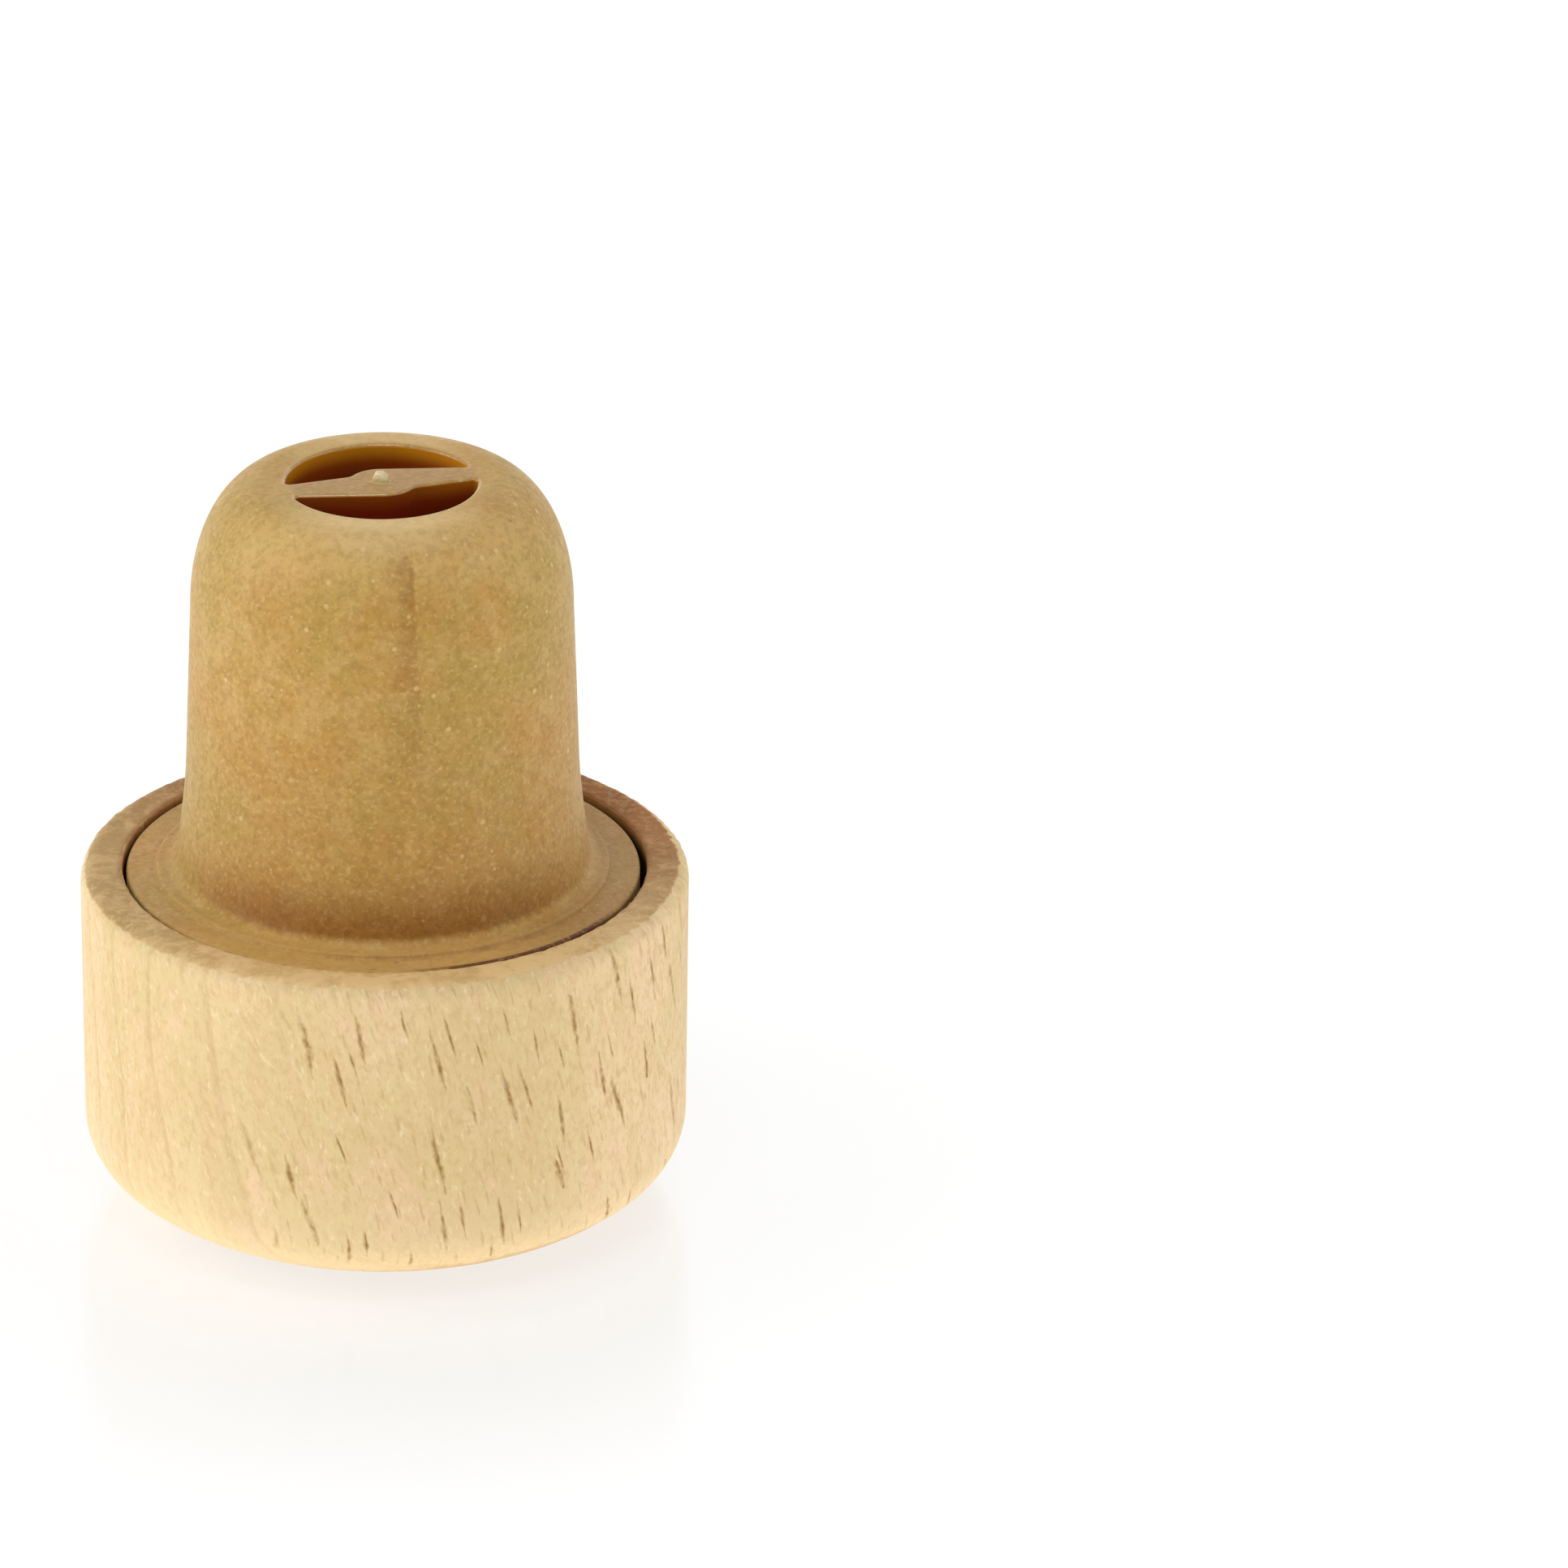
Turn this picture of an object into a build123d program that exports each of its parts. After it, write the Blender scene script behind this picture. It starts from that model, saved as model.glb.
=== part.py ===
from build123d import *
from math import radians, tan
import os

# A bottle stopper in two pieces, in millimetres: a turned wooden head, and a moulded
# synthetic cork whose flange is glued into a recess of the head.  It stands on its head:
# z = 0 is the face of the head, and +Z runs along the axis to the mouth of the cork.

# Mouth of the cork: a blind bore that a web with a round boss divides into two half-moons
bore_diameter = 9.5
bore_floor = 2.2             # solid left between the cavities and the flange's back
bore_draft = 0.3             # degrees on every wall of the cavities
boss_diameter = 3.4
rib_wall_width = 1.5         # each rib is a wedge: its width at the bore's wall
rib_flare = 16.0             # degrees between the two long edges of a rib
rib_turn = 2.0               # degrees from +X to the ribs' outer edges
moon_tip_round = 0.22
boss_side_round = 0.6
cavity_floor_round = 0.1
lip_round = 0.2
end_ring_width = 1.18        # flat ring round the bore, where the end is cut square
gate_stub_diameter = 1.0     # trimmed sprue on the end of the boss
gate_stub_height = 0.5
gate_stub_lean = 0.12        # the stub narrows by this, on the radius

# Shank of the cork
shank_length = 20.83         # from the flange's face to the end
tip_diameter = 19.06         # where the rounded nose starts
nose_length = 6.45           # the nose is a quarter ellipse: this is its length along the axis
side_taper = 1.95            # degrees from the axis, from the nose down to the flare
flare_height = 4.9           # the shank flares out over this height above the flange
flare_width = 0.55           # and by this on the radius, on top of the taper
flare_blend = 30.0
root_fillet = 0.7

# Flange of the cork, glued flat on the floor of the head's recess
land_width = 1.05            # raised ring round the shank that seats on the lip of the bottle
land_height = 0.25
land_edge_lean = 0.12        # the land's side leans in by this
land_edge_round = 0.1
flange_margin = 1.42         # flat border of the flange outside the land
flange_edge_round = 0.18
flange_back_round = 0.3      # clears the corner of the recess
flange_setback = 0.15        # the flange's face lies this far below the rim
flange_gap = 0.28            # clearance all round in the recess, on the radius
glue_shift = 0.08            # the cork was glued in this far off centre, towards -X

# Wooden head
rim_wall = 2.1               # between the recess and the side, at the rim
head_height = 17.7           # from the face to the rim
side_draw_in = 0.11          # the side leans in by this, on the radius, down to the face
face_round = 5.1             # large turned round between the face and the side
rim_round = 0.8              # broken outer edge of the rim
recess_depth = 2.6
recess_edge_round = 0.2
recess_corner_round = 0.15

# Places that follow from the sizes: heights above the head's face, then radii from inside out
recess_floor_z = head_height - recess_depth
flange_face_z = head_height - flange_setback
land_face_z = flange_face_z + land_height
flare_top_z = flange_face_z + flare_height
end_z = flange_face_z + shank_length
nose_start_z = end_z - nose_length
bore_depth = end_z - recess_floor_z - bore_floor
boss_radius = boss_diameter / 2
bore_radius = bore_diameter / 2
end_face_radius = bore_radius + end_ring_width
tip_radius = tip_diameter / 2
nose_width = tip_radius - end_face_radius
neck_radius = tip_radius + (nose_start_z - flare_top_z) * tan(radians(side_taper))
root_radius = neck_radius + flare_width
land_radius = root_radius + land_width
flange_radius = land_radius + flange_margin
recess_radius = flange_radius + flange_gap
head_radius = recess_radius + rim_wall
coincident = 0.001           # points closer than this are the same


def revolved(*outline):
    """The solid of revolution whose half section the outline closes."""
    return revolve(Plane.XZ * make_face(Curve() + list(outline)), Axis.Z)


def wooden_head():
    """Solid turned head: face down, recess up."""
    turned = FilletPolyline(
        (0, 0),
        (head_radius - side_draw_in, 0),
        (head_radius, head_height),
        (recess_radius, head_height),
        (recess_radius, recess_floor_z),
        (0, recess_floor_z),
        radius=[face_round, rim_round, recess_edge_round, recess_corner_round],
    )
    axis_line = Line((0, recess_floor_z), (0, 0))
    return revolved(turned, axis_line)


def cork_blank():
    """Flange, sealing land and flared shank with its elliptical nose, before the cavities."""
    side = FilletPolyline(
        (0, recess_floor_z),
        (flange_radius, recess_floor_z),
        (flange_radius, flange_face_z),
        (land_radius, flange_face_z),
        (land_radius - land_edge_lean, land_face_z),
        (root_radius, land_face_z),
        (neck_radius, flare_top_z),
        (tip_radius, nose_start_z),
        radius=[flange_back_round, flange_edge_round, 0, land_edge_round, root_fillet, flare_blend],
    )
    nose = EllipticalCenterArc((end_face_radius, nose_start_z), nose_width, nose_length, arc_size=90)
    end_face = Line((end_face_radius, end_z), (0, end_z))
    axis_line = Line((0, end_z), (0, recess_floor_z))
    return revolved(side, nose, end_face, axis_line)


def rib_outline():
    """Rib from the boss to the bore's wall: one edge touches the boss, the other flares to it."""
    reach = 2 * bore_radius
    flare = tan(radians(rib_flare))
    inner_edge_at_wall = rib_wall_width - boss_radius
    inner_edge_at_axis = inner_edge_at_wall + flare * bore_radius
    inner_edge_at_reach = inner_edge_at_axis - flare * reach
    return make_face(
        Polyline(
            (0, -boss_radius),
            (-reach, -boss_radius),
            (-reach, inner_edge_at_reach),
            (0, inner_edge_at_axis),
            close=True,
        )
    )


def corners_on(plan, radius):
    """The corners of a plan that lie on a circle about the axis."""
    return [v for v in plan.vertices() if abs(Vector(v).length - radius) < coincident]


def half_moons():
    """Plan of the two cavities at the end of the cork."""
    rib = rib_outline()
    web = Circle(boss_radius) + rib + Rot(0, 0, 180) * rib
    moons = Circle(bore_radius) - web
    moons = fillet(corners_on(moons, bore_radius), moon_tip_round)
    # the other corner on the boss is where the rib's touching edge runs into it smoothly
    boss_sides = [v for v in corners_on(moons, boss_radius) if abs(v.X) > boss_radius / 2]
    return Rot(0, 0, rib_turn) * fillet(boss_sides, boss_side_round)


def cavities():
    """Both half-moon cavities, drafted so that their cores pull out of the end."""
    cores = extrude(Pos(0, 0, end_z) * half_moons(), -bore_depth, taper=bore_draft)
    floor_edges = cores.edges().group_by(Axis.Z)[0]
    return fillet(floor_edges, cavity_floor_round)


def gate_stub():
    """Trimmed sprue that stands on the middle of the boss."""
    base = gate_stub_diameter / 2
    on_end = (Align.CENTER, Align.CENTER, Align.MIN)
    return Pos(0, 0, end_z) * Cone(base, base - gate_stub_lean, gate_stub_height, align=on_end)


def synthetic_cork():
    """Moulded cork: one piece from the flange to the mouth."""
    cork = cork_blank() - cavities()
    end_face = cork.faces().sort_by(Axis.Z)[-1]
    lip = [edge for wire in end_face.inner_wires() for edge in wire.edges()]
    return Pos(-glue_shift, 0, 0) * (fillet(lip, lip_round) + gate_stub())


os.makedirs("parts", exist_ok=True)
for name, piece in (("wooden_head", wooden_head()), ("synthetic_cork", synthetic_cork())):
    export_step(piece, f"parts/{name}.step")
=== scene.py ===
from math import acos, atan2, cos, pi, radians, sin, sqrt, tan

import bpy
import numpy as np
from mathutils import Matrix, Vector
from mathutils.geometry import delaunay_2d_cdt


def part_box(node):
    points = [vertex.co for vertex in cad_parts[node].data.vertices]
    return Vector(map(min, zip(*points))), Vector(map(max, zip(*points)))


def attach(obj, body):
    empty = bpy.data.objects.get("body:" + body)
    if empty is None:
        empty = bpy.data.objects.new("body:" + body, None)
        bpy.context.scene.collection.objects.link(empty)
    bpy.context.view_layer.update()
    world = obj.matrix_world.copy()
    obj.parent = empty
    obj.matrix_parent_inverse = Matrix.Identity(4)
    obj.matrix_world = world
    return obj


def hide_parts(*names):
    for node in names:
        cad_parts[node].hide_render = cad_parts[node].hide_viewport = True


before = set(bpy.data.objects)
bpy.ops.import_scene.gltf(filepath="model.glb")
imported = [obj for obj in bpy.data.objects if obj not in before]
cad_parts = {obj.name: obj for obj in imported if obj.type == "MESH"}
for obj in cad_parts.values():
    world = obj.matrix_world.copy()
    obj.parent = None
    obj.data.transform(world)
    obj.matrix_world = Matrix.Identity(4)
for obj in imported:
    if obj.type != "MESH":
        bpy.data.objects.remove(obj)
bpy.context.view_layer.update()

MM = 0.001

# ---------------------------------------------------------------- sizes, in millimetres
head_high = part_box("wooden_head")[1] / MM
cork_low, cork_high = (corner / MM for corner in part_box("synthetic_cork"))

# Head
HEAD_RADIUS = head_high.x
HEAD_HEIGHT = head_high.z
SIDE_DRAW_IN = 0.11             # the side leans in by this, down to the face
CORNER_RADIUS = 3.26            # two arcs join the side and the face: a tight one at the side
CROWN_RADIUS = 8.4              # and a wide one at the face
CROWN_END = radians(50)         # they meet this far below level, seen from their centres
RIM_WALL = 2.1
RIM_ROUND = 0.8                 # broken outer edge of the rim
RIM_CHIPS = 0.09                # how much the chips change that round, and the slow wander
RIM_WANDER = 0.07
RIM_ROUND_LIMITS = (0.4, 1.15)
RECESS_RADIUS = HEAD_RADIUS - RIM_WALL
RECESS_FLOOR = cork_low.z
RECESS_EDGE_ROUND = 0.15
RECESS_EDGE_CHIPS = 0.05
RECESS_EDGE_LIMITS = (0.06, 0.3)
RECESS_CORNER_ROUND = 0.15
HEAD_HUB = 0.4                  # radius of the fan that closes the middle of each flat

# Cork, from the flange to the nose
CORK_SHIFT = (cork_low.x + cork_high.x) / 2     # it was glued in this far off centre
FLANGE_RADIUS = (cork_high.x - cork_low.x) / 2
FLANGE_SETBACK = 0.15           # the flange's face lies this far below the rim
FLANGE_BACK_ROUND = 0.3
FLANGE_EDGE_ROUND = 0.18
FLANGE_MARGIN = 1.42            # flat border of the flange outside the land
LAND_WIDTH = 1.05               # raised ring that seats on the lip of the bottle
LAND_HEIGHT = 0.25
LAND_LEAN = 0.12
LAND_FOOT_ROUND = 0.12
LAND_EDGE_ROUND = 0.18
FLARE_WIDTH = 0.55
FLARE_HEIGHT = 4.9
FLARE_BLEND = 30.0
ROOT_FILLET = 0.7
TIP_RADIUS = 9.53
NOSE_LENGTH = 6.45
CORK_HUB = 0.5

# Mouth of the cork
BORE_RADIUS = 4.75
BORE_BACK = 2.2                 # solid left between the cavities and the flange's back
BORE_DRAFT = radians(0.3)
END_RING_WIDTH = 1.18           # flat ring round the bore
BOSS_RADIUS = 1.7
RIB_WALL_WIDTH = 1.5            # each rib is a wedge: its width at the bore's wall
RIB_FLARE = radians(16)         # between the two long edges of a rib
RIB_TURN = radians(2)
TIP_ROUND = 0.22
BOSS_SIDE_ROUND = 0.6
CAVITY_FLOOR_ROUND = 0.1
LIP_ROUND = 0.2

# Gate stub: rows up its side, each as the radius and the share of the height
STUB_HEIGHT = 0.5
STUB_ROWS = ((0.5, 0.0), (0.44, 0.12), (0.41, 0.4), (0.38, 0.7), (0.33, 0.9), (0.2, 1.0))
STUB_RAGGED = 0.13              # how far its side is torn in and out, as a share of the radius
STUB_HIGH_SIDE = 2.2            # radians from +X to its high side
STUB_MIDDLE = 0.72              # height of its middle, as a share of the whole

# Places that follow
FLANGE_FACE = HEAD_HEIGHT - FLANGE_SETBACK
LAND_FACE = FLANGE_FACE + LAND_HEIGHT
FLARE_TOP = FLANGE_FACE + FLARE_HEIGHT
LAND_RADIUS = FLANGE_RADIUS - FLANGE_MARGIN
ROOT_RADIUS = LAND_RADIUS - LAND_WIDTH
NECK_RADIUS = ROOT_RADIUS - FLARE_WIDTH
END_Z = cork_high.z - STUB_HEIGHT
NOSE_START = END_Z - NOSE_LENGTH
END_RING = BORE_RADIUS + END_RING_WIDTH
BORE_FLOOR = RECESS_FLOOR + BORE_BACK

# Fineness of the meshes: columns round the axis, and steps along each outline
HEAD_COLUMNS = 600
CORK_COLUMNS = 360
STUB_COLUMNS = 40
FACE_STEPS = 22
CROWN_STEPS = 13
NOSE_STEPS = 44
LIP_STEPS = 8
WALL_STEPS = 28
WALL_CROWDING = 1.4             # the wall's rows lie closer together toward the lip
CAVITY_FLOOR_STEPS = 3
LIP_ROWS = 6                    # rows at the top of a cavity that have the lip's finish
ROW_PITCH = 0.87                # rows of even triangles, as a share of their width
BORDER_CLEARANCE = 0.6          # a patch's own points keep this share of a width off its border

# Finishes of the cork, in the order of its materials
BODY, CAVITY, TORN, LIP = range(4)


# ---------------------------------------------------------------- outlines
def unit(vector):
    return vector / np.linalg.norm(vector)


def spaced(start, end, steps):
    """Points from start to end, without the last."""
    return [start + (end - start) * k / steps for k in range(steps)]


def rounded(points, radii, steps):
    """Points along a polyline with rounded corners; steps are for line, arc, line and so on."""
    points = [np.array(p, float) for p in points]
    steps = iter(steps)
    start, outline = points[0], []
    for before, corner, after, radius in zip(points, points[1:], points[2:], radii):
        back, on = unit(before - corner), unit(after - corner)
        half = acos(back @ on) / 2
        first, last = corner + back * radius / tan(half), corner + on * radius / tan(half)
        centre = corner + unit(back + on) * radius / sin(half)
        outline += spaced(start, first, next(steps))
        arc_steps = next(steps)
        a, b = unit(first - centre), unit(last - centre)
        sweep = acos(np.clip(a @ b, -1, 1))
        for k in range(arc_steps):
            part = sweep * k / arc_steps
            outline.append(centre + radius * (a * sin(sweep - part) + b * sin(part)) / sin(sweep))
        start = last
    outline += spaced(start, points[-1], next(steps))
    return outline + [points[-1]]


def ring_noise(columns, low, high, waves, rng):
    """Closed random ripple round a ring, about -1 to 1, from low to high waves a turn."""
    turn = np.arange(columns) * 2 * pi / columns
    total = np.zeros(columns)
    for frequency in rng.integers(low, high, waves):
        total += rng.normal() * np.cos(frequency * turn + rng.uniform(0, 2 * pi))
    return total / sqrt(waves)


# ---------------------------------------------------------------- mesh building
class Shell:
    """Vertices and faces of one closed surface, in millimetres."""

    def __init__(self):
        self.points, self.faces, self.finishes = [], [], []

    def ring(self, points):
        first = len(self.points)
        self.points += [tuple(p) for p in points]
        return list(range(first, len(self.points)))

    def add(self, face, finish):
        self.faces.append(face)
        self.finishes.append(finish)

    def bridge(self, lower, upper, finish=0):
        count = len(lower)
        for k in range(count):
            on = (k + 1) % count
            self.add((lower[k], lower[on], upper[on], upper[k]), finish)

    def fan(self, centre, ring, finish=0):
        middle = self.ring([centre])[0]
        for k in range(len(ring)):
            self.add((middle, ring[k], ring[(k + 1) % len(ring)]), finish)

    def object(self, name, materials):
        mesh = bpy.data.meshes.new(name)
        mesh.from_pydata([tuple(c * MM for c in p) for p in self.points], [], self.faces)
        for material in materials:
            mesh.materials.append(material)
        mesh.polygons.foreach_set("material_index", self.finishes)
        mesh.polygons.foreach_set("use_smooth", [True] * len(self.faces))
        mesh.update()
        piece = bpy.data.objects.new(name, mesh)
        bpy.context.collection.objects.link(piece)
        return piece


def turned(columns, profile_at):
    """Rings of points about the axis: profile_at(k) is the outline of column k."""
    turn = np.arange(columns) * 2 * pi / columns
    profiles = np.array([profile_at(k) for k in range(columns)])
    radius, height = profiles[:, :, 0], profiles[:, :, 1]
    grid = np.stack([radius * np.cos(turn)[:, None], radius * np.sin(turn)[:, None], height], -1)
    return grid.transpose(1, 0, 2)


def head_face():
    """Outline from the middle of the face to the top of its large round, and that top's place."""
    corner_z = CORNER_RADIUS + (CROWN_RADIUS - CORNER_RADIUS) * (1 - sin(CROWN_END))
    side_foot = HEAD_RADIUS - SIDE_DRAW_IN * (1 - corner_z / HEAD_HEIGHT)
    corner = np.array([side_foot - CORNER_RADIUS, corner_z])
    flat = corner[0] - (CROWN_RADIUS - CORNER_RADIUS) * cos(CROWN_END)
    crown = np.array([flat, CROWN_RADIUS])
    face = spaced(np.array([HEAD_HUB, 0.0]), np.array([flat, 0.0]), FACE_STEPS)
    for centre, radius, first, last in ((crown, CROWN_RADIUS, pi / 2, CROWN_END),
                                        (corner, CORNER_RADIUS, CROWN_END, 0.0)):
        face += [centre + radius * np.array([cos(angle), -sin(angle)])
                 for angle in spaced(first, last, CROWN_STEPS)]
    return face, (side_foot, corner_z)


def head_object(materials):
    """Turned head. Its outer rim edge is broken unevenly, as the end grain chips there."""
    rng = np.random.default_rng(11)
    chips = ring_noise(HEAD_COLUMNS, 34, 130, 40, rng)
    chips += 0.5 * ring_noise(HEAD_COLUMNS, 130, 230, 40, rng)
    recess_chips = ring_noise(HEAD_COLUMNS, 20, 150, 40, rng)
    wander = ring_noise(HEAD_COLUMNS, 3, 14, 10, rng)
    # the chips are largest at the front
    chips *= 0.62 - 0.38 * np.sin(np.arange(HEAD_COLUMNS) * 2 * pi / HEAD_COLUMNS)
    face, side_start = head_face()

    def profile_at(k):
        rim_round = RIM_ROUND + RIM_CHIPS * chips[k] + RIM_WANDER * wander[k]
        recess_round = RECESS_EDGE_ROUND + RECESS_EDGE_CHIPS * recess_chips[k]
        return face + rounded(
            [
                side_start,
                (HEAD_RADIUS, HEAD_HEIGHT),
                (RECESS_RADIUS, HEAD_HEIGHT),
                (RECESS_RADIUS, RECESS_FLOOR),
                (HEAD_HUB, RECESS_FLOOR),
            ],
            [
                float(np.clip(rim_round, *RIM_ROUND_LIMITS)),
                float(np.clip(recess_round, *RECESS_EDGE_LIMITS)),
                RECESS_CORNER_ROUND,
            ],
            [44, 9, 8, 6, 8, 3, 6],
        )

    rings = turned(HEAD_COLUMNS, profile_at)
    shell = Shell()
    rows = [shell.ring(row) for row in rings]
    for lower, upper in zip(rows, rows[1:]):
        shell.bridge(lower, upper)
    shell.fan((0, 0, 0), rows[0][::-1])
    shell.fan((0, 0, RECESS_FLOOR), rows[-1])
    return shell.object("turned_head", materials)


# ---------------------------------------------------------------- mouth of the cork
def arc_points(centre, radius, start, end, steps):
    """Points of an arc, without the last."""
    angles = np.linspace(start, end, steps, endpoint=False)
    return [centre + radius * np.array([cos(a), sin(a)]) for a in angles]


def line_circle(point, direction, radius):
    """Where the line first meets the circle about the origin, on its way along direction."""
    along = point @ direction
    return point + direction * (-along - sqrt(along**2 - point @ point + radius**2))


def moon_outline(offset):
    """Outline of one half-moon, grown by offset, anticlockwise, in the web's own directions."""
    edge_way = np.array([cos(RIB_FLARE), sin(RIB_FLARE)])
    edge_side = np.array([-sin(RIB_FLARE), cos(RIB_FLARE)])
    edge_point = np.array([-BORE_RADIUS, RIB_WALL_WIDTH - BOSS_RADIUS])
    right = np.array([sqrt((BORE_RADIUS - TIP_ROUND) ** 2 - (BOSS_RADIUS + TIP_ROUND) ** 2),
                      BOSS_RADIUS + TIP_ROUND])
    left = line_circle(edge_point + TIP_ROUND * edge_side, edge_way, BORE_RADIUS - TIP_ROUND)
    boss = line_circle(edge_point + BOSS_SIDE_ROUND * edge_side, edge_way,
                       BOSS_RADIUS + BOSS_SIDE_ROUND)
    right_angle = atan2(right[1], right[0])
    left_angle = atan2(left[1], left[0])
    boss_angle = atan2(boss[1], boss[0])
    edge_down = RIB_FLARE - pi / 2
    origin = np.zeros(2)
    tip = TIP_ROUND + offset
    web = BOSS_RADIUS - offset
    edge_start = left - edge_side * tip
    edge_end = boss - edge_side * (BOSS_SIDE_ROUND + offset)
    points = arc_points(origin, BORE_RADIUS + offset, right_angle, left_angle, 84)
    points += arc_points(left, tip, left_angle, edge_down + 2 * pi, 10)
    points += spaced(edge_start, edge_end, 16)
    points += arc_points(boss, BOSS_SIDE_ROUND + offset, edge_down, boss_angle - pi, 12)
    points += arc_points(origin, web, boss_angle, pi / 2, 22)
    points += spaced(np.array([0, web]), np.array([right[0], web]), 22)
    points += arc_points(right, tip, -pi / 2, right_angle, 10)
    return np.array(points)


def on_cork(points, turn):
    """Points of the web's plan, turned about the axis and moved to the cork's own axis."""
    c, s = cos(turn), sin(turn)
    return points @ np.array([[c, s], [-s, c]]) + np.array([CORK_SHIFT, 0])


def at_height(points, z):
    """Points of a plan, lifted to one height."""
    return np.column_stack([points, np.full(len(points), z)])


def moon_levels():
    """(offset, height) pairs down a cavity: round lip, drafted wall, rounded floor corner."""
    levels = []
    for k in range(LIP_STEPS, -1, -1):
        angle = k / LIP_STEPS * pi / 2
        levels.append((LIP_ROUND * (1 - cos(angle)), END_Z - LIP_ROUND * (1 - sin(angle))))
    top, bottom = END_Z - LIP_ROUND, BORE_FLOOR + CAVITY_FLOOR_ROUND
    for k in range(1, WALL_STEPS + 1):
        z = top + (bottom - top) * (k / WALL_STEPS) ** WALL_CROWDING
        levels.append((-(top - z) * tan(BORE_DRAFT), z))
    narrow = levels[-1][0]
    for k in range(1, CAVITY_FLOOR_STEPS + 1):
        angle = k / CAVITY_FLOOR_STEPS * pi / 2
        levels.append((narrow - CAVITY_FLOOR_ROUND * (1 - cos(angle)),
                       BORE_FLOOR + CAVITY_FLOOR_ROUND * (1 - sin(angle))))
    return levels


def inside(points, loop):
    """Which points lie inside a closed loop."""
    x, y = points[:, 0][:, None], points[:, 1][:, None]
    x0, y0 = loop[:, 0], loop[:, 1]
    x1, y1 = np.roll(x0, -1), np.roll(y0, -1)
    with np.errstate(divide="ignore", invalid="ignore"):
        crossing = ((y0 > y) != (y1 > y)) & (x < (x1 - x0) * (y - y0) / (y1 - y0) + x0)
    return crossing.sum(1) % 2 == 1


def patch(shell, outer, holes, z_at, spacing, finish):
    """Fills the flat region between an outer ring and holes with even triangles."""
    loops = [outer] + holes
    plan = [np.array([shell.points[i][:2] for i in loop]) for loop in loops]
    border = np.concatenate(plan)
    ids = [i for loop in loops for i in loop]
    low, high = plan[0].min(0), plan[0].max(0)
    xs = np.arange(low[0], high[0], spacing)
    ys = np.arange(low[1], high[1], spacing * ROW_PITCH)
    seeds = np.array([(x + (spacing / 2 if row % 2 else 0), y)
                      for row, y in enumerate(ys) for x in xs])
    keep = inside(seeds, plan[0])
    for loop in plan[1:]:
        keep &= ~inside(seeds, loop)
    seeds = seeds[keep]
    near = np.min(np.linalg.norm(seeds[:, None] - border[None], axis=2), axis=1)
    seeds = seeds[near > spacing * BORDER_CLEARANCE]
    ids += shell.ring([(x, y, z_at(x, y)) for x, y in seeds])
    edges, first = [], 0
    for loop in loops:
        count = len(loop)
        edges += [(first + k, first + (k + 1) % count) for k in range(count)]
        first += count
    everything = np.concatenate([border, seeds])
    points, _, triangles, _, _, _ = delaunay_2d_cdt(
        [Vector(p) for p in everything], edges, [], 0, 1e-7)
    centres = np.array([np.mean([points[i] for i in t], axis=0) for t in triangles])
    keep = inside(centres, plan[0])
    for loop in plan[1:]:
        keep &= ~inside(centres, loop)
    for triangle, wanted in zip(triangles, keep):
        if wanted:
            shell.add(tuple(ids[i] for i in triangle), finish)


def cork_side():
    """Outline of the cork from the flange's back to the flat ring round the mouth."""
    side = rounded(
        [
            (CORK_HUB, RECESS_FLOOR),
            (FLANGE_RADIUS, RECESS_FLOOR),
            (FLANGE_RADIUS, FLANGE_FACE),
            (LAND_RADIUS, FLANGE_FACE),
            (LAND_RADIUS - LAND_LEAN, LAND_FACE),
            (ROOT_RADIUS, LAND_FACE),
            (NECK_RADIUS, FLARE_TOP),
            (TIP_RADIUS, NOSE_START),
        ],
        [
            FLANGE_BACK_ROUND,
            FLANGE_EDGE_ROUND,
            LAND_FOOT_ROUND,
            LAND_EDGE_ROUND,
            ROOT_FILLET,
            FLARE_BLEND,
        ],
        [6, 4, 4, 5, 6, 3, 3, 4, 4, 9, 6, 16, 26],
    )
    nose_width = TIP_RADIUS - END_RING
    for k in range(1, NOSE_STEPS + 1):
        angle = (k / NOSE_STEPS) * pi / 2
        side.append(np.array([END_RING + nose_width * cos(angle),
                              NOSE_START + NOSE_LENGTH * sin(angle)]))
    return side


def cavity(shell, turn):
    """One half-moon cavity. Returns the ring of its lip."""
    rows = [shell.ring(at_height(on_cork(moon_outline(offset), turn), z))
            for offset, z in moon_levels()]
    for row, (upper, lower) in enumerate(zip(rows, rows[1:])):
        shell.bridge(upper, lower, LIP if row < LIP_ROWS else CAVITY)
    patch(shell, rows[-1], [], lambda x, y: BORE_FLOOR, 0.8, CAVITY)
    return rows[0]


def gate_stub(shell, rng):
    """Stub of the torn sprue, slanted and uneven. Returns the ring of its foot."""
    turn = np.arange(STUB_COLUMNS) * 2 * pi / STUB_COLUMNS
    torn = ring_noise(STUB_COLUMNS, 2, 9, 12, rng)
    height = STUB_HEIGHT * (0.70 + 0.27 * np.cos(turn - STUB_HIGH_SIDE) + 0.03 * torn)
    rows = []
    for k, (radius, part) in enumerate(STUB_ROWS):
        around = radius * (1 + STUB_RAGGED * torn * (1 if k else 0))
        z = END_Z + np.minimum(height * part, STUB_HEIGHT)
        rows.append(shell.ring(np.column_stack([
            CORK_SHIFT + around * np.cos(turn), around * np.sin(turn), z])))
    for lower, upper in zip(rows, rows[1:]):
        shell.bridge(lower, upper, TORN)
    shell.fan((CORK_SHIFT, 0, END_Z + STUB_HEIGHT * STUB_MIDDLE), rows[-1], TORN)
    return rows[0]


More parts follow.
